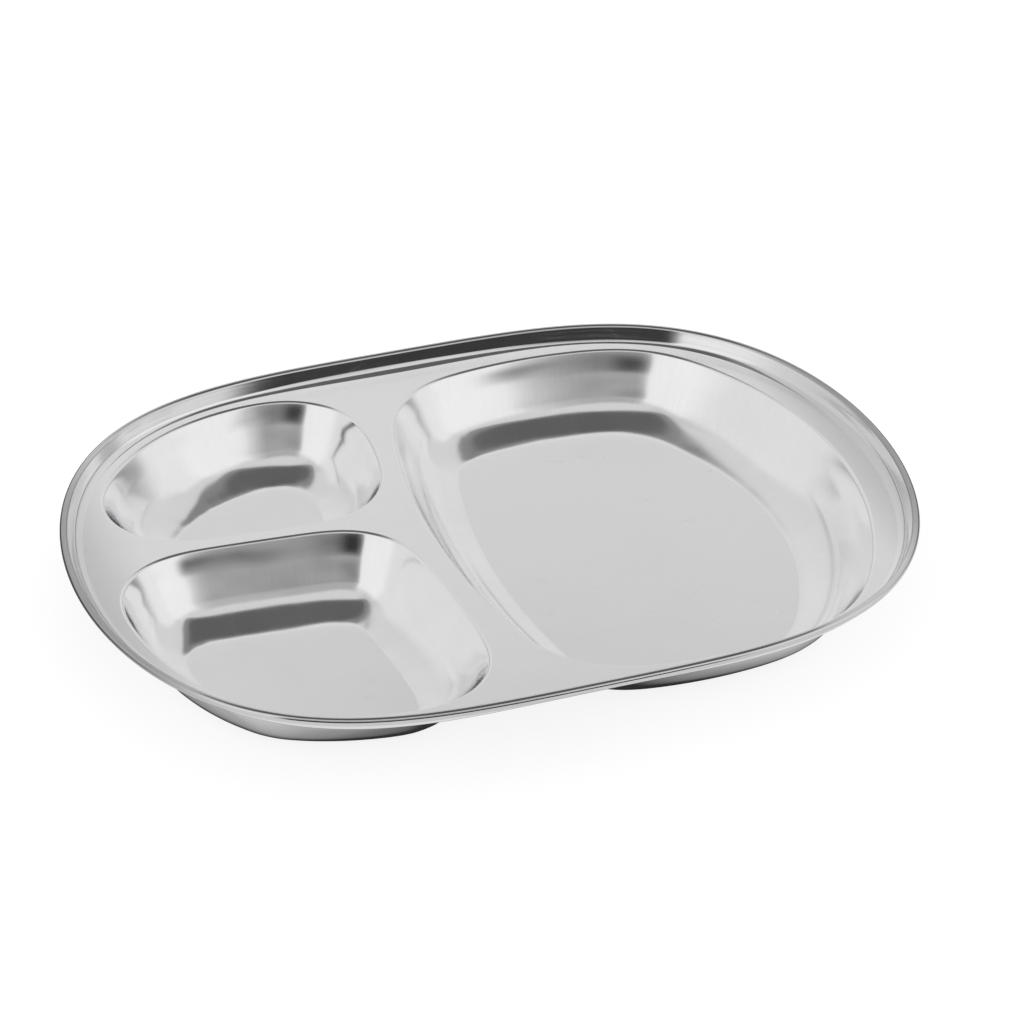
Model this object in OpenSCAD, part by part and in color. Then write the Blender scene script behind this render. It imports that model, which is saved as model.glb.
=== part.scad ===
/* [Plate] */
// Length of the plate over the rolled edge
plate_length = 280; // [220:1:360]
// Width of the plate over the rolled edge, front to back
plate_width = 216; // [170:1:280]
// Thickness of the steel sheet
sheet = 0.7; // [0.5:0.1:1]

/* [Wells] */
// Depth of the three wells below the deck
well_depth = 21; // [14:0.5:28]
// Run of a well's wall, from the edge of the deck to the edge of the flat floor
wall_run = 24; // [21:0.5:26]
// Radius at the mouth, where the deck turns down into a wall
mouth_radius = 1.5; // [1:0.5:6]
// Radius at the foot, where a wall turns into the floor
foot_radius = 17; // [6:0.5:18]
// Width of the ridge of deck between the two small wells
ridge_width = 4.6; // [3:0.2:9]

/* [Rim] */
// Height of the rim's crest above the deck
rim_height = 5.8; // [5:0.1:10]
// Radius of the rolled edge
bead_radius = 1.35; // [1.2:0.05:2]
// How far round the sheet is rolled, in degrees
roll_angle = 270; // [200:5:290]
// Radius where the deck turns up into the rim, along the shoulders of the long sides
side_fillet = 1.8; // [1.5:0.1:3]
// Radius where the deck turns up into the rim, in the middle of the long sides
middle_fillet = 3.7; // [3:0.1:5]
// Radius where the deck turns up into the rim, at the two ends
end_fillet = 3.7; // [2:0.1:5]
// Run of the rim's wall beyond its two radii, which leans it outward
rim_lean = 0.9; // [0.1:0.1:2]

/* [Hidden] */

// Heights, from the underside of the floors up to the centre of the rolled edge
floor_top = sheet;
deck_top = sheet + well_depth;
bead_centre = deck_top + rim_height - bead_radius;

// The plate's outline is a Lamé curve: a high power squares it off across its ends,
// and the plain power of an ellipse rounds it along its sides
length_power = 3.6;
width_power = 2;
// Share of the half length over which the fillet of the middle fades out
middle_share = 0.57;

// Half sizes of the deck that the wells are laid out on, inside the rim
deck_half_length = plate_length/2 - end_fillet - 2*bead_radius - rim_lean;
deck_half_width = plate_width/2 - side_fillet - 2*bead_radius - rim_lean;

// The compartments are drawn on a deck that reaches 1 across and this far along, then stretched
drawn_length_share = 1.3;
stretch = [deck_half_length/drawn_length_share, deck_half_width];
mean_stretch = (stretch[0] + stretch[1])/2;

// Sides of each compartment, up to the middle of the ridges round it, anticlockwise from the right:
// the way that the side faces in degrees, the place of its outermost point, and the radius of its bow
large_side_shares = [[0, 1.247, -0.006, 1.33], [90, 0.43, 0.965, 1.5], [180, -0.231, -0.006, 2.68],
    [270, 0.43, -0.977, 1.47]];
front_side_shares = [[0, -0.21, -0.653, 3.22], [86, -0.733, 0.16, 12], [180, -1.276, -0.103, 1.05],
    [270, -0.48, -0.95, 1.14]];
rear_side_shares = [[0, -0.18, 0.628, 1.09], [90, -0.503, 0.979, 0.75], [266, -0.69, 0.153, 12]];

// Corner radii between each side and the next, for the compartment and for its flat floor
large_corner_shares = [0.47, 0.39, 0.39, 0.47];
large_floor_corner_shares = [0.26, 0.13, 0.16, 0.28];
front_corner_shares = [0.28, 0.29, 0.42, 0.29];
front_floor_corner_shares = [0.08, 0.1, 0.24, 0.1];
rear_corner_shares = [0.3, 0.29, 0.285];
rear_floor_corner_shares = [0.12, 0.05, 0.08];

// Share of the wall run that each side of a well takes
large_run_shares = [1, 1, 0.95, 1];
front_run_shares = [0.9, 1, 0.76, 1];
rear_run_shares = [0.85, 0.97, 1];

// Steps along each side and corner of a well, round the rim, and round the fillets and the roll
side_steps = 7;
corner_steps = 8;
rim_steps = 80;
mouth_steps = 4;
foot_steps = 5;
roll_steps = 4;

function direction(angle) = [cos(angle), sin(angle)];
function heading(v) = atan2(v[1], v[0]);
function turn(a, b) = (b - a + 720) % 360;

// Tilt of the straight stretch between two opposite fillets, from the distance that it covers,
// its rise, and the sum of the two radii
function tilt(run, rise, radii) = let (across = rise - radii) atan2(across, run) + asin(radii/norm([run, across]));

// Centre of the corner arc that touches two side arcs from inside, on the outward side of the compartment
function corner_centre(c1, r1, c2, r2, r, outward) =
    let (d = c2 - c1, l = norm(d), a = r1 - r, b = r2 - r, t = (a*a - b*b + l*l)/(2*l),
        h = sqrt(a*a - t*t), n = [-d[1], d[0]]/l)
    c1 + t*d/l + (n*outward > 0 ? h : -h)*n;

// Every side and corner of an outline as an arc: centre, radius, start angle and sweep
function outline_arcs(sides, corners) =
    let (n = len(sides),
        c = [for (s = sides) [s[1], s[2]] - s[3]*direction(s[0])],
        k = [for (i = [0:n - 1]) let (j = (i + 1) % n)
            corner_centre(c[i], sides[i][3], c[j], sides[j][3], corners[i],
                direction(sides[i][0]) + direction(sides[j][0]))])
    [for (i = [0:n - 1]) let (p = (i + n - 1) % n, j = (i + 1) % n,
        a0 = heading(k[p] - c[i]), a1 = heading(k[i] - c[i]), a2 = heading(k[i] - c[j]))
        each [[c[i], sides[i][3], a0, turn(a0, a1)], [k[i], corners[i], a1, turn(a1, a2)]]];

// Sides drawn in by a real distance each, square to the way that each faces
function drawn_in(sides, insets) =
    [for (i = [0:len(sides) - 1]) let (s = sides[i], u = direction(s[0]),
        d = insets[i]/norm([u[0]*stretch[0], u[1]*stretch[1]]))
        [s[0], s[1] - d*u[0], s[2] - d*u[1], s[3] - d]];

// Real points of an outline, as many on each side and corner whatever their size
function outline_points(arcs) =
    [for (i = [0:len(arcs) - 1]) let (arc = arcs[i], steps = i % 2 == 0 ? side_steps : corner_steps)
        for (j = [0:steps - 1]) let (q = arc[0] + arc[1]*direction(arc[2] + arc[3]*j/steps))
            [q[0]*stretch[0], q[1]*stretch[1]]];

// Edge of the deck round a well, and edge of the well's flat floor
function mouth_points(sides, corners) =
    outline_points(outline_arcs(drawn_in(sides, [for (s = sides) ridge_width/2]),
        [for (r = corners) r - ridge_width/2/mean_stretch]));
function floor_points(sides, floor_corners, runs) =
    outline_points(outline_arcs(drawn_in(sides, [for (r = runs) ridge_width/2 + r*wall_run]), floor_corners));

// Section through a well's wall, from the deck over the mouth and down to the floor, and back below:
// distance in from the deck's edge, and height
function wall_section(run) =
    let (foot = foot_radius*run/wall_run, lean = tilt(run, well_depth, mouth_radius + foot))
    concat(
        [for (i = [0:mouth_steps]) let (a = lean*i/mouth_steps)
            [mouth_radius*sin(a), deck_top - mouth_radius*(1 - cos(a))]],
        [for (i = [foot_steps:-1:0]) let (a = lean*i/foot_steps)
            [run - foot*sin(a), floor_top + foot*(1 - cos(a))]],
        [for (i = [0:foot_steps]) let (a = lean*i/foot_steps)
            [run - (foot + sheet)*sin(a), floor_top + foot - (foot + sheet)*cos(a)]],
        [for (i = [mouth_steps:-1:0]) let (a = lean*i/mouth_steps)
            [(mouth_radius - sheet)*sin(a), deck_top - mouth_radius + (mouth_radius - sheet)*cos(a)]]);

// One place on the rim: centre of the rolled edge, the outward direction, the fillet's radius,
// and the run from the deck's edge out to that centre
function signed_power(v, power) = sign(v)*pow(abs(v), power);
function rim_station(t) =
    let (half = [plate_length/2 - bead_radius, plate_width/2 - bead_radius],
        q = [half[0]*signed_power(cos(t), 2/length_power), half[1]*signed_power(sin(t), 2/width_power)],
        g = [length_power/half[0]*signed_power(q[0]/half[0], length_power - 1),
            width_power/half[1]*signed_power(q[1]/half[1], width_power - 1)],
        u = g/norm(g),
        fade = min(1, abs(q[0])/(middle_share*half[0])),
        fillet = side_fillet*u[1]*u[1] + end_fillet*u[0]*u[0] + (middle_fillet - side_fillet)*pow(cos(90*fade), 2))
    [q, u, fillet, fillet + bead_radius + rim_lean];
rim_stations = [for (i = [0:rim_steps - 1]) rim_station(360*i/rim_steps)];
function toe_point(s) = s[0] - s[3]*s[1];

// Section through the rim's wall, from the deck up to the roll and back: distance out and height
function rim_tilt(s) = tilt(s[3], rim_height, s[2] + bead_radius);
function rim_section(s) =
    let (lean = rim_tilt(s), r = s[2], inner = bead_radius - sheet)
    concat(
        [for (i = [0:mouth_steps]) let (a = lean*i/mouth_steps) [r*sin(a), deck_top + r*(1 - cos(a))]],
        [[s[3] - bead_radius*sin(lean), bead_centre + bead_radius*cos(lean)]],
        [[s[3] - inner*sin(lean), bead_centre + inner*cos(lean)]],
        [for (i = [mouth_steps:-1:0]) let (a = lean*i/mouth_steps)
            [(r + sheet)*sin(a), deck_top + r - (r + sheet)*cos(a)]]);

// Section through the roll, up over the crest, down to the outermost line and back under
function roll_section(s) =
    let (first = rim_tilt(s) + 90, last = first - roll_angle,
        turns = [for (i = [0:roll_steps - 1]) first + (90 - first)*i/roll_steps,
            for (i = [0:roll_steps - 1]) 90 - 90*i/roll_steps,
            for (i = [0:roll_steps]) last*i/roll_steps],
        inner = bead_radius - sheet, n = len(turns))
    concat(
        [for (a = turns) [s[3] + bead_radius*cos(a), bead_centre + bead_radius*sin(a)]],
        [for (i = [1:n]) let (a = turns[n - i]) [s[3] + inner*cos(a), bead_centre + inner*sin(a)]]);

// A section set up at one place: from a point, along a direction
function set_up(section, from, along) =
    [for (p = section) [from[0] + p[0]*along[0], from[1] + p[0]*along[1], p[1]]];

// A closed skin through closed sections that stand one after another round the plate, anticlockwise;
// inward sections run from the outline in, so that their faces turn the other way
module ring_skin(sections, inward) {
    n = len(sections);
    m = len(sections[0]);
    faces = [for (i = [0:n - 1], j = [0:m - 1]) let (k = (i + 1) % n, l = (j + 1) % m,
        a = i*m + j, b = i*m + l, c = k*m + l, d = k*m + j)
        each inward ? [[a, b, c], [a, c, d]] : [[c, b, a], [d, c, a]]];
    polyhedron([for (s = sections) each s], faces, convexity = 8);
}

module flat_sheet(points, top) {
    translate([0, 0, top - sheet]) linear_extrude(sheet) polygon(points);
}

module well_wall(mouth, floor) {
    ring_skin([for (i = [0:len(mouth) - 1]) let (d = floor[i] - mouth[i], run = norm(d))
        set_up(wall_section(run), mouth[i], d/run)], true);
}

large_mouth = mouth_points(large_side_shares, large_corner_shares);
front_mouth = mouth_points(front_side_shares, front_corner_shares);
rear_mouth = mouth_points(rear_side_shares, rear_corner_shares);
large_floor = floor_points(large_side_shares, large_floor_corner_shares, large_run_shares);
front_floor = floor_points(front_side_shares, front_floor_corner_shares, front_run_shares);
rear_floor = floor_points(rear_side_shares, rear_floor_corner_shares, rear_run_shares);

// Flat floor of the large well, which fills the right half of the plate
module large_well_floor() {
    color("silver") flat_sheet(large_floor, floor_top);
}

// Drawn wall of the large well, rounded over at its mouth and out at its foot
module large_well_wall() {
    color("gainsboro") well_wall(large_mouth, large_floor);
}

// Flat floor of the squarer small well at the front left
module front_well_floor() {
    color("silver") flat_sheet(front_floor, floor_top);
}

module front_well_wall() {
    color("gainsboro") well_wall(front_mouth, front_floor);
}

// Flat floor of the half-round small well at the rear left
module rear_well_floor() {
    color("silver") flat_sheet(rear_floor, floor_top);
}

module rear_well_wall() {
    color("gainsboro") well_wall(rear_mouth, rear_floor);
}

// Flat deck between the rim and the wells, with the ridges that divide them
module deck() {
    color("lightgray") translate([0, 0, deck_top - sheet]) linear_extrude(sheet) difference() {
        polygon([for (s = rim_stations) toe_point(s)]);
        for (mouth = [large_mouth, front_mouth, rear_mouth]) polygon(mouth);
    }
}

// Low wall that turns up from the deck and stiffens the plate's edge
module rim_wall() {
    color("darkgray") ring_skin([for (s = rim_stations) set_up(rim_section(s), toe_point(s), s[1])], false);
}

// Edge of the sheet, rolled outward and under so that no cut edge is left to the hand
module rolled_rim() {
    color("whitesmoke") ring_skin([for (s = rim_stations) set_up(roll_section(s), toe_point(s), s[1])], false);
}

large_well_floor();
large_well_wall();
front_well_floor();
front_well_wall();
rear_well_floor();
rear_well_wall();
deck();
rim_wall();
rolled_rim();
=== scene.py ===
# Divided plate: one steel pressing with three wells, a deck between them, a low rim and a rolled edge.
# The sections are the wells' walls and floors, the rim wall, the rolled edge and the deck, and after them
# the table, the light and the camera.
import math
import bpy
import numpy as np
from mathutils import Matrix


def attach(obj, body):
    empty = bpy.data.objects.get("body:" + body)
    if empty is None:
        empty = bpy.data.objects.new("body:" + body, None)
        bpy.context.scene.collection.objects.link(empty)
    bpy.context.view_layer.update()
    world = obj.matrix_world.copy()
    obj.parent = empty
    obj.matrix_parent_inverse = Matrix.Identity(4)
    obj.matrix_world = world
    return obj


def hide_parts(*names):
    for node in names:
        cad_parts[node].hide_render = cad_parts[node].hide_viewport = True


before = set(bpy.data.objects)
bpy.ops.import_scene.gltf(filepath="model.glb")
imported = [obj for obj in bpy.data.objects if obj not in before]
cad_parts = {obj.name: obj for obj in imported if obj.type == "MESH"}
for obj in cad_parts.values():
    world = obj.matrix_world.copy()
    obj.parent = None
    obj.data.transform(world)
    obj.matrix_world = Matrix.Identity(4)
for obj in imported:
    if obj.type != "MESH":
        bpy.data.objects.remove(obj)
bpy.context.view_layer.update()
bpy.ops.object.select_all(action="DESELECT")

# Well walls
# Each well is drawn into the sheet by a punch: the sheet rolls over the deck's edge, runs down as a
# straight wall and sweeps out into the floor. Polished stainless steel of 0.7 mm.
sheet = 0.0007
well_depth = 0.021
deck_top = sheet + well_depth
# how far a wall reaches in from the deck's edge to the floor
wall_run = 0.024
mouth_radius = 0.0015
foot_radius = 0.017
ridge_width = 0.0046
# the length over which a bend comes on, along the mouth and along the floor
mouth_easing = 0.016
floor_easing = 0.009
# steps round each bend of the wall's section, above and underneath, and along the straight between
mouth_steps = 14
foot_steps = 22
foot_under_steps = 10
mouth_under_steps = 6
wall_steps = 5

# half sizes of the deck inside the rim, in metres and in the units that the wells are laid out in
deck_half = np.array([0.1327, 0.1026])
layout_half = np.array([1.3, 1.0])
stretch = deck_half / layout_half

# sides: the way each one faces, its outermost point and the radius of its bow. corners and
# floor_corners: the radius after each side, at the deck and at the floor. runs: shares of wall_run.
well_shapes = {
    "large_well": dict(
        sides=[(0, 1.247, -0.006, 1.33), (90, 0.43, 0.965, 1.5),
               (180, -0.231, -0.006, 2.68), (270, 0.43, -0.977, 1.47)],
        corners=[0.47, 0.39, 0.39, 0.47],
        floor_corners=[0.26, 0.13, 0.16, 0.28],
        runs=[1, 1, 0.95, 1]),
    "front_well": dict(
        sides=[(0, -0.21, -0.653, 3.22), (86, -0.733, 0.16, 12),
               (180, -1.276, -0.103, 1.05), (270, -0.48, -0.95, 1.14)],
        corners=[0.28, 0.29, 0.42, 0.29],
        floor_corners=[0.08, 0.1, 0.24, 0.1],
        runs=[0.9, 1, 0.76, 1]),
    "rear_well": dict(
        sides=[(0, -0.18, 0.628, 1.09), (90, -0.503, 0.979, 0.75), (266, -0.69, 0.153, 12)],
        corners=[0.3, 0.29, 0.285],
        floor_corners=[0.12, 0.05, 0.08],
        runs=[0.85, 0.97, 1]),
}


def direction(degrees):
    return np.array([math.cos(math.radians(degrees)), math.sin(math.radians(degrees))])


def heading(v):
    return math.degrees(math.atan2(v[1], v[0]))


def well_outline(sides, corners, side_steps=44, corner_steps=26):
    """Side arcs joined by corner arcs, the same number of points on each whatever their length."""
    count = len(sides)
    centres = [np.array(side[1:3]) - side[3] * direction(side[0]) for side in sides]
    corner_centres = []
    for i in range(count):
        j = (i + 1) % count
        from_i, from_j = sides[i][3] - corners[i], sides[j][3] - corners[i]
        across = centres[j] - centres[i]
        length = np.hypot(*across)
        along = (from_i ** 2 - from_j ** 2 + length ** 2) / (2 * length)
        square = np.array([-across[1], across[0]]) / length
        outward = direction(sides[i][0]) + direction(sides[j][0])
        aside = math.copysign(math.sqrt(from_i ** 2 - along ** 2), square @ outward)
        corner_centres.append(centres[i] + along * across / length + aside * square)
    points = []
    for i in range(count):
        start = heading(corner_centres[i - 1] - centres[i])
        middle = heading(corner_centres[i] - centres[i])
        end = heading(corner_centres[i] - centres[(i + 1) % count])
        side_arc = (centres[i], sides[i][3], start, middle, side_steps)
        corner_arc = (corner_centres[i], corners[i], middle, end, corner_steps)
        for centre, radius, first, last, steps in (side_arc, corner_arc):
            sweep = (last - first) % 360
            points += [centre + radius * direction(first + sweep * k / steps) for k in range(steps)]
    return np.array(points) * stretch


def drawn_in(sides, insets):
    """Each side moved in by a real distance, square to the way it faces."""
    moved = []
    for (degrees, x, y, bow), inset in zip(sides, insets):
        facing = direction(degrees)
        step_in = inset / np.hypot(*(facing * stretch))
        moved.append((degrees, x - step_in * facing[0], y - step_in * facing[1], bow - step_in))
    return moved


def eased(points, reach, fine=3000):
    """A closed outline whose bends come on gradually, as a ground tool's do."""
    closed = np.vstack([points, points[:1]])
    lengths = np.concatenate([[0], np.cumsum(np.hypot(*np.diff(closed, axis=0).T))])
    total = lengths[-1]
    even = np.arange(fine) * total / fine
    track = np.stack([np.interp(even, lengths, closed[:, k]) for k in (0, 1)], 1)
    half = max(1, int(reach / 2 / (total / fine)))
    for _ in range(2):
        track = sum(np.roll(track, k, axis=0) for k in range(-half, half + 1)) / (2 * half + 1)
    track = np.vstack([track, track[:1]])
    even = np.append(even, total)
    return np.stack([np.interp(lengths[:-1], even, track[:, k]) for k in (0, 1)], 1)


def tilt(run, rise, radii):
    """Slope of the straight stretch between two opposite bends."""
    across = rise - radii
    return np.arctan2(across, run) + np.arcsin(radii / np.hypot(run, across))


def bend(first, last, steps):
    """Angles round a bend for every station: rows are stations."""
    share = np.linspace(0, 1, steps + 1)
    return first[:, None] + (last - first)[:, None] * share[None, :]


def straight(a, b, steps):
    """Points strictly between two rows of points."""
    share = np.arange(1, steps) / steps
    return a[:, None] + (b - a)[:, None] * share[None, :]


def sheet_section(top, below, steps):
    """A closed section of the sheet: on each face a bend, a straight stretch and a second bend, where each
    bend is its distances, heights and slopes. The last value is the steps of the sheet's two cut ends."""
    rows = []
    for first, second in (top, below):
        distance, height = (straight(first[k][:, -1], second[k][:, 0], steps) for k in (0, 1))
        rows += [first, (distance, height, np.repeat(first[2][:, -1:], steps - 1, axis=1)), second]
    distance, height, slope = (np.concatenate([row[k] for row in rows], axis=1) for k in range(3))
    top_steps = sum(row[0].shape[1] for row in rows[:3])
    return distance, height, slope, (top_steps - 1, distance.shape[1] - 1)


def lay_draw_map(mesh, skin, column, row):
    """The map that the finish follows: the share of the way round, and metres across the sheet."""
    stations = len(skin)
    girth = np.linalg.norm(np.roll(skin[:, 0], -1, axis=0) - skin[:, 0], axis=1)
    share_round = np.concatenate([[0], np.cumsum(girth)]) / girth.sum()
    closed_section = np.concatenate([skin, skin[:, :1]], axis=1)
    across = np.cumsum(np.linalg.norm(np.diff(closed_section, axis=1), axis=2), axis=1)
    across = np.concatenate([np.zeros((stations, 1)), across], axis=1)
    places = np.column_stack([share_round[column], across[column % stations, row]])
    mesh.uv_layers[0].name = "draw_map"
    mesh.uv_layers[0].data.foreach_set("uv", places.astype(np.float32).ravel())


def drawn_normals(skin, along, slope, inward):
    """The drawn surface's own normals, so that reflections run on unbroken from zone to zone."""
    ahead = np.roll(skin, -1, axis=0) - skin
    behind = skin - np.roll(skin, 1, axis=0)
    to_behind = np.linalg.norm(behind, axis=2, keepdims=True)
    to_ahead = np.linalg.norm(ahead, axis=2, keepdims=True)
    round_way = (ahead / to_ahead * to_behind + behind / to_behind * to_ahead) / (to_behind + to_ahead)
    down_way = np.empty_like(skin)
    down_way[..., :2] = np.cos(slope)[..., None] * along[:, None, :]
    down_way[..., 2] = np.sin(slope)
    normal = np.cross(round_way, down_way) if inward else np.cross(down_way, round_way)
    return normal / np.linalg.norm(normal, axis=2, keepdims=True)


def set_normals(mesh, normal, cut_ends):
    """Gives each corner of each face its drawn normal, and the sheet's two cut ends their own flat one."""
    station, step = (np.empty(len(mesh.vertices), int) for _ in range(2))
    mesh.attributes["station"].data.foreach_get("value", station)
    mesh.attributes["step"].data.foreach_get("value", step)
    corner_points = np.empty(len(mesh.loops), int)
    mesh.loops.foreach_get("vertex_index", corner_points)
    corner_normals = normal[station[corner_points], step[corner_points]]
    face_steps = step[corner_points].reshape(-1, 4)
    flat_normals = np.empty(len(mesh.polygons) * 3)
    mesh.polygons.foreach_get("normal", flat_normals)
    flat_normals = flat_normals.reshape(-1, 3)
    for end in cut_ends:
        pair = {end, (end + 1) % normal.shape[1]}
        at_end = np.array([set(steps) == pair for steps in face_steps])
        corner_normals.reshape(-1, 4, 3)[at_end] = flat_normals[at_end][:, None, :]
    mesh.normals_split_custom_set(corner_normals)


def press_ring(name, start, along, section, inward):
    """Presses a flat blank into a closed ring, station by station round the plate and step by step
    round the sheet's section."""
    distance, height, slope, cut_ends = section
    stations, steps = distance.shape
    bpy.ops.object.select_all(action="DESELECT")
    bpy.ops.mesh.primitive_grid_add(x_subdivisions=stations, y_subdivisions=steps, size=2, calc_uvs=True)
    ring = bpy.context.object
    ring.name = name
    mesh = ring.data
    mesh.name = name
    flat = np.empty(len(mesh.vertices) * 3)
    mesh.vertices.foreach_get("co", flat)
    # the blank runs from -1 to 1 both ways, and its last row and column close on the first
    flat = flat.reshape(-1, 3)
    column = np.rint((flat[:, 0] + 1) / 2 * stations).astype(int)
    row = np.rint((flat[:, 1] + 1) / 2 * steps).astype(int)
    station, step = column % stations, row % steps
    skin = np.empty((stations, steps, 3))
    skin[..., :2] = start[:, None, :] + distance[..., None] * along[:, None, :]
    skin[..., 2] = height
    mesh.vertices.foreach_set("co", skin[station, step].ravel())
    corner_points = np.empty(len(mesh.loops), int)
    mesh.loops.foreach_get("vertex_index", corner_points)
    lay_draw_map(mesh, skin, column[corner_points], row[corner_points])
    for label, values in (("station", station), ("step", step)):
        mesh.attributes.new(label, "INT", "POINT").data.foreach_set("value", values)
    bpy.ops.object.mode_set(mode="EDIT")
    bpy.ops.mesh.select_all(action="SELECT")
    bpy.ops.mesh.remove_doubles(threshold=1e-7)
    bpy.ops.mesh.normals_make_consistent(inside=False)
    bpy.ops.object.mode_set(mode="OBJECT")
    bpy.ops.object.shade_smooth()
    set_normals(mesh, drawn_normals(skin, along, slope, inward), cut_ends)
    for label in ("station", "step"):
        mesh.attributes.remove(mesh.attributes[label])
    return ring


def feed(tree, socket, value):
    """Sets a socket to a value, or links it to another node's output."""
    if isinstance(value, bpy.types.NodeSocket):
        tree.links.new(value, socket)
    else:
        socket.default_value = value


def node(tree, kind, *values, operation=None, **named_values):
    """A node with its sockets fed in order or by name."""
    made = tree.nodes.new("ShaderNode" + kind)
    if operation:
        made.operation = operation
    for key, value in [*enumerate(values), *named_values.items()]:
        feed(tree, made.inputs[key], value)
    return made


def number(tree, operation, *values):
    """What a Math node works out."""
    return node(tree, "Math", *values, operation=operation).outputs["Value"]


def vector(tree, operation, *values, output="Vector", **named_values):
    """What a Vector Math node works out."""
    return node(tree, "VectorMath", *values, operation=operation, **named_values).outputs[output]


def remapped(tree, value, low, high, to_low=0, to_high=1, kind="LINEAR"):
    """The value carried from one range to another, and held at its ends."""
    made = node(tree, "MapRange", value, low, high, to_low, to_high)
    made.interpolation_type = kind
    return made.outputs["Result"]


def mixed(tree, share, low_colour, high_colour):
    """The colour that far from one to the other."""
    mix = tree.nodes.new("ShaderNodeMix")
    mix.data_type = "RGBA"
    low, high = [socket for socket in mix.inputs if socket.type == "RGBA"]
    feed(tree, mix.inputs["Factor"], share)
    feed(tree, low, low_colour)
    feed(tree, high, high_colour)
    return [socket for socket in mix.outputs if socket.type == "RGBA"][0]


def new_group(name, inputs, outputs):
    """A node group with named sockets: its tree, what it is given and what it gives."""
    group = bpy.data.node_groups.new(name, "ShaderNodeTree")
    for label, kind in inputs.items():
        group.interface.new_socket(name=label, in_out="INPUT", socket_type="NodeSocket" + kind)
    for label in outputs:
        group.interface.new_socket(name=label, in_out="OUTPUT", socket_type="NodeSocketFloat")
    return group, group.nodes.new("NodeGroupInput").outputs, group.nodes.new("NodeGroupOutput").inputs


def group_node(tree, group, values):
    """A group placed in a material, with its sockets fed by name."""
    made = tree.nodes.new("ShaderNodeGroup")
    made.node_tree = group
    for label, value in values.items():
        feed(tree, made.inputs[label], value)
    return made


# The marks that all the steel shares. The dies leave fine lines that run down the walls, the buffing
# leaves a soft grain on the flats, and use leaves haze, hairline scratches and a few specks.
marks, given, result = new_group(
    "drawn_steel_marks",
    {"Place": "Vector", "Line Repeats": "Vector", "Line Height": "Float",
     "Wave Repeats": "Vector", "Wave Height": "Float"},
    ("Tone", "Polish", "Relief"))
place = given["Place"]

lines_at = vector(marks, "MULTIPLY", place, given["Line Repeats"])
lines = node(marks, "TexNoise", lines_at, Scale=1, Detail=4, Roughness=0.7).outputs[0]
waves_at = vector(marks, "MULTIPLY", place, given["Wave Repeats"])
waves = node(marks, "TexNoise", waves_at, Scale=1, Detail=1, Roughness=0.4).outputs[0]
haze = node(marks, "TexNoise", place, Scale=28, Detail=5, Roughness=0.6, Distortion=0.4).outputs[0]

# hairline scratches: the contour of a long drawn-out noise, kept only where a second noise is high
scratch_width = 0.012
patch_edge = (0.58, 0.66)
hair_at = node(marks, "Mapping", place, Rotation=(0.4, 0.3, 0.7), Scale=(30, 260, 110)).outputs[0]
hair_field = node(marks, "TexNoise", hair_at, Scale=1, Detail=0).outputs[0]
off_contour = number(marks, "ABSOLUTE", number(marks, "SUBTRACT", hair_field, 0.5))
on_contour = remapped(marks, off_contour, 0, scratch_width, 1, 0)
patches = node(marks, "TexNoise", place, Scale=90, Detail=1).outputs[0]
scratches = number(marks, "MULTIPLY", on_contour, remapped(marks, patches, *patch_edge))

# specks: the middles of a few cells of a fine cell pattern
speck_edge = (0.05, 0.16)
cells_left_plain = 0.965
cells = node(marks, "TexVoronoi", place, Scale=420)
near_middle = remapped(marks, cells.outputs["Distance"], *speck_edge, 1, 0)
cell_draw = node(marks, "SeparateXYZ", cells.outputs["Color"]).outputs[0]
specks = number(marks, "MULTIPLY", near_middle, number(marks, "GREATER_THAN", cell_draw, cells_left_plain))
worn = number(marks, "MAXIMUM", scratches, specks)

# how far each mark takes the polish off, how it shifts the tone, and how deep wear cuts, in micrometres
haze_edge = (0.35, 0.7)
haze_dulls = 0.6
lines_dull = 0.5
wear_dulls = 0.8
lines_tone = 0.7
tone_edge = (0.6, 1.15)
wear_depth = 1.2
dulled = number(marks, "MULTIPLY", remapped(marks, haze, *haze_edge), haze_dulls)
dulled = number(marks, "ADD", dulled, number(marks, "MULTIPLY", lines, lines_dull))
dulled = number(marks, "ADD", dulled, number(marks, "MULTIPLY", worn, wear_dulls))
dulled.node.use_clamp = True
marks.links.new(dulled, result["Polish"])
tone = number(marks, "MULTIPLY_ADD", lines, lines_tone, haze)
marks.links.new(remapped(marks, tone, *tone_edge), result["Tone"])
relief = number(marks, "MULTIPLY", lines, given["Line Height"])
relief = number(marks, "MULTIPLY_ADD", waves, given["Wave Height"], relief)
relief = number(marks, "MULTIPLY_ADD", worn, -wear_depth, relief)
marks.links.new(relief, result["Relief"])

micrometre = 0.000001
bright_tones = (0.82, 0.82, 0.825, 1), (0.89, 0.89, 0.895, 1)
# the draw leaves the top of the wall a little steeper: metres across the sheet where that fades
crown_from, crown_to = 0.0005, 0.009
# the radius of the hoop that a ring's map is wound round, so that its lines meet where the ring closes
hoop_radius = 0.075


def hooped(tree, share_round, across_sheet):
    """A ring's map wound round the hoop."""
    turned = number(tree, "MULTIPLY", share_round, 2 * math.pi)
    hoop_x = number(tree, "MULTIPLY", number(tree, "COSINE", turned), hoop_radius)
    hoop_y = number(tree, "MULTIPLY", number(tree, "SINE", turned), hoop_radius)
    return node(tree, "CombineXYZ", hoop_x, hoop_y, across_sheet).outputs[0]


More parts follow.
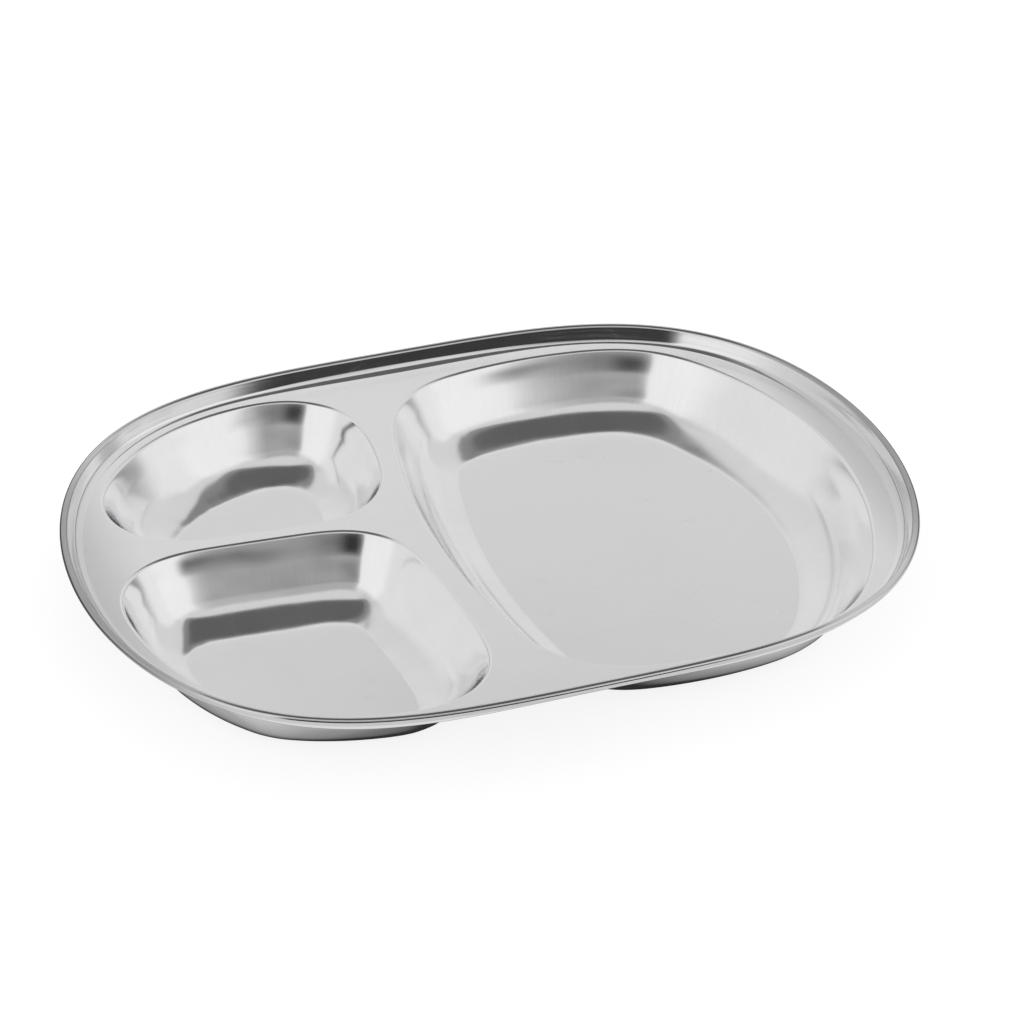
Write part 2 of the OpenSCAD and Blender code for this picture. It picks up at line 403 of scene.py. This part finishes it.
def steel(name, line_repeats, line_height, wave_repeats, wave_height, smoothest, roughest,
          drawn=False, tones=bright_tones, crown=0):
    """Buffed steel: its marks' repeats per metre and heights in micrometres, and its roughness. Drawn
    steel follows its ring's map, and its crown, how much steeper its top is, is in micrometres."""
    metal = bpy.data.materials.new(name)
    metal.use_nodes = True
    tree = metal.node_tree
    shader = tree.nodes["Principled BSDF"]
    shader.inputs["Metallic"].default_value = 1
    if drawn:
        ring_map = tree.nodes.new("ShaderNodeUVMap")
        ring_map.uv_map = "draw_map"
        share_round, across_sheet = node(tree, "SeparateXYZ", ring_map.outputs[0]).outputs[:2]
        marked_at = hooped(tree, share_round, across_sheet)
    else:
        marked_at = tree.nodes.new("ShaderNodeTexCoord").outputs["Object"]
    marked = group_node(tree, marks, {"Place": marked_at,
                                      "Line Repeats": line_repeats, "Line Height": line_height,
                                      "Wave Repeats": wave_repeats, "Wave Height": wave_height})
    feed(tree, shader.inputs["Base Color"], mixed(tree, marked.outputs["Tone"], *tones))
    rough = remapped(tree, marked.outputs["Polish"], 0, 1, smoothest, roughest)
    feed(tree, shader.inputs["Roughness"], rough)
    height = marked.outputs["Relief"]
    if crown:
        steeper = remapped(tree, across_sheet, crown_from, crown_to, crown, 0, "SMOOTHSTEP")
        height = number(tree, "ADD", height, steeper)
    bump = node(tree, "Bump", Strength=1, Distance=micrometre, Height=height)
    feed(tree, shader.inputs["Normal"], bump.outputs[0])
    return metal


wall_steel = steel("drawn_wall_steel", line_repeats=(1800, 1800, 90), line_height=4,
                   wave_repeats=(30, 30, 84), wave_height=340,
                   smoothest=0.08, roughest=0.18, drawn=True, crown=350)
mouths, floors = {}, {}
half_ridge = ridge_width / 2
for well, shape in well_shapes.items():
    mouth_sides = drawn_in(shape["sides"], [half_ridge] * len(shape["sides"]))
    mouth_corners = [radius - half_ridge / stretch.mean() for radius in shape["corners"]]
    floor_sides = drawn_in(shape["sides"], [half_ridge + share * wall_run for share in shape["runs"]])
    mouths[well] = eased(well_outline(mouth_sides, mouth_corners), mouth_easing)
    floors[well] = eased(well_outline(floor_sides, shape["floor_corners"]), floor_easing)
    way = floors[well] - mouths[well]
    run = np.hypot(*way.T)
    along = way / run[:, None]
    foot = foot_radius * run / wall_run
    lean = tilt(run, well_depth, mouth_radius + foot)
    level = np.zeros_like(run)
    over = bend(level, lean, mouth_steps)
    out = bend(lean, level, foot_steps)
    back = bend(level, lean, foot_under_steps)
    under = bend(lean, level, mouth_under_steps)
    run, foot = run[:, None], foot[:, None]
    foot_under = foot + sheet
    mouth_under = mouth_radius - sheet
    top = [(mouth_radius * np.sin(over), deck_top - mouth_radius * (1 - np.cos(over)), -over),
           (run - foot * np.sin(out), sheet + foot * (1 - np.cos(out)), -out)]
    below = [(run - foot_under * np.sin(back), foot_under * (1 - np.cos(back)), math.pi - back),
             (mouth_under * np.sin(under), deck_top - mouth_radius + mouth_under * np.cos(under),
              math.pi - under)]
    wall = press_ring(well + "_wall_drawn", mouths[well], along,
                      sheet_section(top, below, wall_steps), inward=True)
    wall.data.materials.append(wall_steel)
    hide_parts(well + "_wall")
    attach(wall, "root")

# Well floors
# The flat bottoms of the wells, which the plate stands on. They are the same sheet, left flat by the
# punch, and their buffed grain runs along the plate.
floor_steel = steel("well_floor_steel", line_repeats=(260, 2200, 900), line_height=2.5,
                    wave_repeats=(60, 60, 60), wave_height=30, smoothest=0.17, roughest=0.28)


def flat_blank(name, outline, top):
    """A ring of points laid round an outline, at the height of the sheet's top."""
    bpy.ops.object.select_all(action="DESELECT")
    bpy.ops.mesh.primitive_circle_add(vertices=len(outline), radius=1, fill_type="NOTHING")
    blank = bpy.context.object
    blank.name = name
    blank.data.name = name
    places = np.column_stack([outline, np.full(len(outline), top)])
    blank.data.vertices.foreach_set("co", places.ravel())
    return blank


def thicken(blank):
    """Fills the blank between its rings of points and gives it the sheet's thickness."""
    bpy.ops.object.mode_set(mode="EDIT")
    bpy.ops.mesh.select_all(action="SELECT")
    bpy.ops.mesh.fill(use_beauty=True)
    bpy.ops.mesh.select_all(action="SELECT")
    bpy.ops.mesh.extrude_region_move(TRANSFORM_OT_translate={"value": (0, 0, -sheet)})
    bpy.ops.mesh.select_all(action="SELECT")
    bpy.ops.mesh.normals_make_consistent(inside=False)
    bpy.ops.object.mode_set(mode="OBJECT")


for well, outline in floors.items():
    floor = flat_blank(well + "_floor_sheet", outline, sheet)
    thicken(floor)
    floor.data.materials.append(floor_steel)
    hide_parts(well + "_floor")
    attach(floor, "root")

# Rim wall
# The sheet turns up from the deck in a low wall all the way round, which stiffens the plate. It is bent
# through a fillet that is tight along the sides, and wider at the ends and in the middle of each side.
plate_half = np.array([0.140, 0.108])
rim_height = 0.0058
rim_lean = 0.0009
side_fillet = 0.0018
middle_fillet = 0.0037
end_fillet = 0.0037
# the share of the half length over which the middle's wider fillet fades out
middle_share = 0.57
bead_radius = 0.00135
bead_half = plate_half - bead_radius
bead_centre = deck_top + rim_height - bead_radius
# the power of the plate's outline along its length: 2 would be an ellipse, more is squarer at the ends
length_power = 3.6
rim_stations = 560
fillet_steps = 14
fillet_under_steps = 8
rim_steps = 4
# points on the fine outline from which evenly spaced stations are taken
outline_samples = 40001
turn = np.linspace(0, 2 * math.pi, outline_samples)


def rim_line(angle):
    """The Lamé curve of the roll's centre: squared off across the ends, round along the sides."""
    c, s = np.cos(angle), np.sin(angle)
    return np.stack([bead_half[0] * np.sign(c) * np.abs(c) ** (2 / length_power), bead_half[1] * s], 1)


travelled = np.concatenate([[0], np.cumsum(np.hypot(*np.diff(rim_line(turn), axis=0).T))])
angles = np.interp(np.arange(rim_stations) * travelled[-1] / rim_stations, travelled, turn)
bead_line = rim_line(angles)
x_share, y_share = (bead_line / bead_half).T
facing = np.stack([length_power / bead_half[0] * np.sign(x_share) * np.abs(x_share) ** (length_power - 1),
                   2 / bead_half[1] * y_share], 1)
facing /= np.hypot(*facing.T)[:, None]
fade = np.minimum(1, np.abs(x_share) / middle_share)
fillet = (side_fillet * facing[:, 1] ** 2 + end_fillet * facing[:, 0] ** 2
          + (middle_fillet - side_fillet) * np.cos(math.pi / 2 * fade) ** 2)
reach = fillet + bead_radius + rim_lean
toe = bead_line - reach[:, None] * facing
rim_tilt = tilt(reach, rim_height, fillet + bead_radius)
level = np.zeros(rim_stations)
inner_radius = bead_radius - sheet

up = bend(level, rim_tilt, fillet_steps)
down = bend(rim_tilt, level, fillet_under_steps)
near, lean, far = fillet[:, None], rim_tilt[:, None], reach[:, None]
near_under = near + sheet
top = [(near * np.sin(up), deck_top + near * (1 - np.cos(up)), up),
       (far - bead_radius * np.sin(lean), bead_centre + bead_radius * np.cos(lean), lean)]
below = [(far - inner_radius * np.sin(lean), bead_centre + inner_radius * np.cos(lean), lean + math.pi),
         (near_under * np.sin(down), deck_top + near - near_under * np.cos(down), down + math.pi)]

# Painted shade: the rim, the rolled edge and the deck have their colour painted darker towards the
# plate's two ends. They go down to a share of their tone between two distances from the middle.
end_shade_from, end_shade_to = 0.11, 0.134
painted_end_shade, given, result = new_group("painted_end_shade", {"Place": "Vector", "End Share": "Float"}, ("Share",))
off_middle = number(painted_end_shade, "ABSOLUTE", node(painted_end_shade, "SeparateXYZ", given["Place"]).outputs["X"])
share_left = remapped(painted_end_shade, off_middle, end_shade_from, end_shade_to, 1, given["End Share"], "SMOOTHSTEP")
painted_end_shade.links.new(share_left, result["Share"])


def paint_end_shade(metal, shaded_end_share):
    """Paints shade into a steel's colour towards the plate's two ends, down to a share of its tone."""
    tree = metal.node_tree
    base_colour = tree.nodes["Principled BSDF"].inputs["Base Color"]
    even_colour = base_colour.links[0].from_socket
    ends = group_node(tree, painted_end_shade, {"Place": tree.nodes.new("ShaderNodeTexCoord").outputs["Object"],
                                          "End Share": shaded_end_share})
    feed(tree, base_colour, vector(tree, "SCALE", even_colour, Scale=ends.outputs["Share"]))


rim_steel = steel("rim_steel", line_repeats=(220, 220, 2600), line_height=3,
                  wave_repeats=(24, 24, 420), wave_height=95,
                  smoothest=0.06, roughest=0.16, drawn=True)
# the rim's colour painted darker towards the ends, as painted shade
paint_end_shade(rim_steel, shaded_end_share=0.8)
rim_wall = press_ring("rim_wall_turned_up", toe, facing,
                      sheet_section(top, below, rim_steps), inward=False)
rim_wall.data.materials.append(rim_steel)
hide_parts("rim_wall")
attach(rim_wall, "root")

# Rolled edge
# The sheet's cut edge is rolled outward and under, all the way round, so that the hand meets a round
# edge. The roll is open and hollow, its steel a little less buffed, and painted a little darker as shade.
roll_angle = math.radians(270)
roll_steps = 40
# the roll's tones, painted darker than the other steel as painted shade
edge_shaded_tones = (0.62, 0.62, 0.625, 1), (0.76, 0.76, 0.765, 1)
roll_start = rim_tilt + math.pi / 2
outside = bend(roll_start, roll_start - roll_angle, roll_steps)
inside = outside[:, ::-1]
distance = far + np.concatenate([bead_radius * np.cos(outside), inner_radius * np.cos(inside)], axis=1)
height = bead_centre + np.concatenate([bead_radius * np.sin(outside),
                                       inner_radius * np.sin(inside)], axis=1)
slope = np.concatenate([outside - math.pi / 2, inside + math.pi / 2], axis=1)
roll_section = (distance, height, slope, (outside.shape[1] - 1, distance.shape[1] - 1))
edge_steel = steel("rolled_edge_steel", line_repeats=(260, 260, 3000), line_height=2,
                   wave_repeats=(60, 60, 200), wave_height=30,
                   smoothest=0.07, roughest=0.16, drawn=True, tones=edge_shaded_tones)
# the roll's colour painted darker towards the ends, as painted shade
paint_end_shade(edge_steel, shaded_end_share=0.6)
rolled_edge = press_ring("rolled_edge", toe, facing, roll_section, inward=False)
rolled_edge.data.materials.append(edge_steel)
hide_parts("rolled_rim")
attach(rolled_edge, "root")

# Deck
# The flat face between the rim and the wells, with the two ridges that divide the wells. It is the
# sheet as it came, held flat while the wells were drawn, and its buffed grain runs across the plate.
deck = flat_blank("deck_sheet", toe, deck_top)
mouth_rings = [flat_blank(well + "_opening", mouth, deck_top) for well, mouth in mouths.items()]
bpy.ops.object.select_all(action="DESELECT")
for ring in mouth_rings + [deck]:
    ring.select_set(True)
bpy.context.view_layer.objects.active = deck
bpy.ops.object.join()
thicken(deck)
deck_steel = steel("deck_steel", line_repeats=(1900, 300, 900), line_height=2.5,
                   wave_repeats=(60, 60, 60), wave_height=40,
                   smoothest=0.14, roughest=0.24)
# the deck's colour painted darker towards the ends, as painted shade
paint_end_shade(deck_steel, shaded_end_share=0.74)
deck.data.materials.append(deck_steel)
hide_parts("deck")
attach(deck, "root")

# Table
# A plain pale table that the plate stands on, a hair below its floors. It shows white to the camera and
# keeps a pale shadow. The steel mirrors a painted glow on it instead, bright before the plate and darker
# beyond, with a painted shadow underneath.
table_side = 6
table_level = -0.0001
table_tone = 0.8
tone_to_camera = 0.18
tone_to_steel = 0.02
glow_to_camera = 0.86
near_glow, far_glow = 0.8, 0.1
glow_turns_within = 0.06
# where the painted shadow lies under the plate, by the plate's outline: 0 in the middle, 1 at the rolled
# edge
painted_shadow_full_to, painted_shadow_clear_from = 0.62, 0.78
painted_shadow_share = 0.03
bpy.ops.object.select_all(action="DESELECT")
bpy.ops.mesh.primitive_plane_add(size=table_side, location=(0, 0, table_level))
table = bpy.context.object
table.name = "table"
paint = bpy.data.materials.new("table_white")
paint.use_nodes = True
tree = paint.node_tree
surface = tree.nodes["Principled BSDF"]
surface.inputs["Roughness"].default_value = 0.9
surface.inputs["Specular IOR Level"].default_value = 0
surface.inputs["Emission Color"].default_value = (1, 1, 1, 1)
light_path = tree.nodes.new("ShaderNodeLightPath")
seen, mirrored = light_path.outputs["Is Camera Ray"], light_path.outputs["Is Glossy Ray"]
place = tree.nodes.new("ShaderNodeTexCoord").outputs["Object"]
outline_shares = vector(tree, "ABSOLUTE", vector(tree, "DIVIDE", place, (*plate_half, 1)))
length_share, width_share = node(tree, "SeparateXYZ", outline_shares).outputs[:2]
out_share = number(tree, "ADD", number(tree, "POWER", length_share, length_power),
                   number(tree, "POWER", width_share, 2))
outside_painted_shadow = remapped(tree, out_share, painted_shadow_full_to, painted_shadow_clear_from, painted_shadow_share, 1)
across = node(tree, "SeparateXYZ", place).outputs["Y"]
near_side = remapped(tree, across, -glow_turns_within, glow_turns_within, near_glow, far_glow, "SMOOTHSTEP")
# the painted glow that the steel mirrors, dimmed to a painted shadow under the plate
glow_to_steel = number(tree, "MULTIPLY", number(tree, "MULTIPLY", outside_painted_shadow, near_side), mirrored)
feed(tree, surface.inputs["Emission Strength"],
     number(tree, "MULTIPLY_ADD", seen, glow_to_camera, glow_to_steel))
other_tone = remapped(tree, mirrored, 0, 1, table_tone, tone_to_steel)
feed(tree, surface.inputs["Base Color"],
     number(tree, "MULTIPLY_ADD", seen, tone_to_camera - table_tone, other_tone))
table.data.materials.append(paint)

# Light
# A pale tent round the plate with a framed dark opening overhead and a gap behind the camera. Polished
# steel is seen by what it reflects, so the tent's zones are what draws its bands and patches.
world = bpy.data.worlds.new("studio")
bpy.context.scene.world = world
world.use_nodes = True
sky = world.node_tree
camera_azimuth = -19.52
tent_tone = 0.73
# zones of the tent, in degrees: centre, half width and softness round from straight beyond the plate,
# then lowest and highest angle above the table and their softness; and brightness
zones = {
    "far side": (0, 35, 25, -10, 40, 10, 0.8),
    "low far side": (0, 80, 15, -14, 8, 9, 0.2),
    "left shade": (-105, 24, 8, 48, 64, 5, 0.64),
    "right panel's end": (88, 12, 6, 4, 42, 5, 0.9),
    "right panel": (117, 20, 4, 14, 46, 6, 0.97),
    "gap behind camera": (177, 32, 10, 24, 53, 2, 0.46),
    "gap's darker part": (177, 24, 15, 20, 35.5, 5, 0.24),
    "gap's darkest part": (194, 15, 12, 17, 34, 5, 0.02),
    "low gap behind camera": (172, 38, 6, -12, 26, 4, 0.04),
    "left panel": (-124, 25, 2, 6, 46, 6, 0.97),
    "left panel's end": (-80, 24, 8, 2, 42, 5, 0.84),
}
# the opening overhead: the way each edge faces, and how far from straight up it lies, in degrees. The
# corners are rounded by adding the edges as powers.
opening_edges = [(58, 33), (-56, 32), (180, 15.5), (110, 39), (-100, 36)]
roundness = 5
# its frame and what is inside: the share of the way out that each reaches to, and its brightness
frame_layers = [(1, 0.14), (0.95, 0.26), (0.82, 0.12)]
frame_softness = 0.035
# light that the steel passes on more than once misses the opening and is a little stronger, which
# keeps the floors even where they mirror the walls
passed_on_boost = 1.27
brightest = 0.98


def soft_step(value, at, softness):
    """0 below an angle in degrees and 1 above it."""
    return remapped(sky, value, math.radians(at - softness), math.radians(at + softness), kind="SMOOTHSTEP")


def toward(degrees):
    """Level direction that many degrees round from straight beyond the plate, as the camera sees it."""
    turned = math.radians(degrees - camera_azimuth)
    return math.sin(turned), math.cos(turned), 0


def painted(under, mask, brightness):
    """The tent with a zone of another brightness where the mask is 1."""
    return mixed(sky, mask, under, (brightness, brightness, brightness, 1))


way = sky.nodes.new("ShaderNodeTexCoord").outputs["Generated"]
height_angle = number(sky, "ARCSINE", node(sky, "SeparateXYZ", way).outputs["Z"])
level_way = vector(sky, "NORMALIZE", vector(sky, "MULTIPLY", way, (1, 1, 0)))
tent = (tent_tone, tent_tone, tent_tone, 1)
for centre, half_width, softness, lowest, highest, height_softness, brightness in zones.values():
    facing_zone = vector(sky, "DOT_PRODUCT", level_way, toward(centre), output="Value")
    beside = soft_step(number(sky, "ARCCOSINE", facing_zone), half_width, softness)
    above = soft_step(height_angle, lowest, height_softness)
    over = soft_step(height_angle, highest, height_softness)
    mask = number(sky, "MULTIPLY", number(sky, "SUBTRACT", 1, beside), number(sky, "SUBTRACT", above, over))
    tent = painted(tent, mask, brightness)

# 1 where the steel is met for the first time, and 0 where it mirrors itself
light_path = sky.nodes.new("ShaderNodeLightPath")
first_time = number(sky, "LESS_THAN", light_path.outputs["Glossy Depth"], 1.5)
off_top = number(sky, "SUBTRACT", math.pi / 2, height_angle)
sky_plan = vector(sky, "SCALE", level_way, Scale=off_top)
spread = 0
for faces_way, out_to in opening_edges:
    reached = vector(sky, "DOT_PRODUCT", sky_plan, toward(faces_way), output="Value")
    share = number(sky, "MAXIMUM", number(sky, "DIVIDE", reached, math.radians(out_to)), 0)
    spread = number(sky, "ADD", spread, number(sky, "POWER", share, roundness))
way_out = number(sky, "POWER", spread, 1 / roundness)
for share_out, brightness in frame_layers:
    inside = remapped(sky, way_out, share_out - frame_softness, share_out + frame_softness, 1, 0)
    tent = painted(tent, number(sky, "MULTIPLY", inside, first_time), brightness)

boost = remapped(sky, first_time, 0, 1, passed_on_boost, 1)
tent = vector(sky, "MINIMUM", vector(sky, "SCALE", tent, Scale=boost), (brightest, brightest, brightest))
background = sky.nodes["Background"]
feed(sky, background.inputs["Color"], tent)
plain = node(sky, "Background", Color=(1, 1, 1, 1))
shown = node(sky, "MixShader", light_path.outputs["Is Glossy Ray"], plain.outputs[0], background.outputs[0])
feed(sky, sky.nodes["World Output"].inputs["Surface"], shown.outputs[0])

# Camera
# At the photograph's angle and distance, looking down over the front left of the plate. The long lens
# keeps the far edge almost as wide as the near one.
azimuth, elevation = math.radians(camera_azimuth), math.radians(32.31)
distance_back = 1.246
aim = (0.00602, -0.00426, 0.02615)
back = (math.sin(azimuth) * math.cos(elevation),
        -math.cos(azimuth) * math.cos(elevation),
        math.sin(elevation))
bpy.ops.object.camera_add(location=[a + distance_back * b for a, b in zip(aim, back)],
                          rotation=(math.pi / 2 - elevation, 0, azimuth))
camera = bpy.context.object
camera.data.lens = 134.12
camera.data.sensor_width = 36
camera.data.clip_start = 0.05
bpy.context.scene.camera = camera
bpy.context.scene.view_settings.view_transform = "Standard"
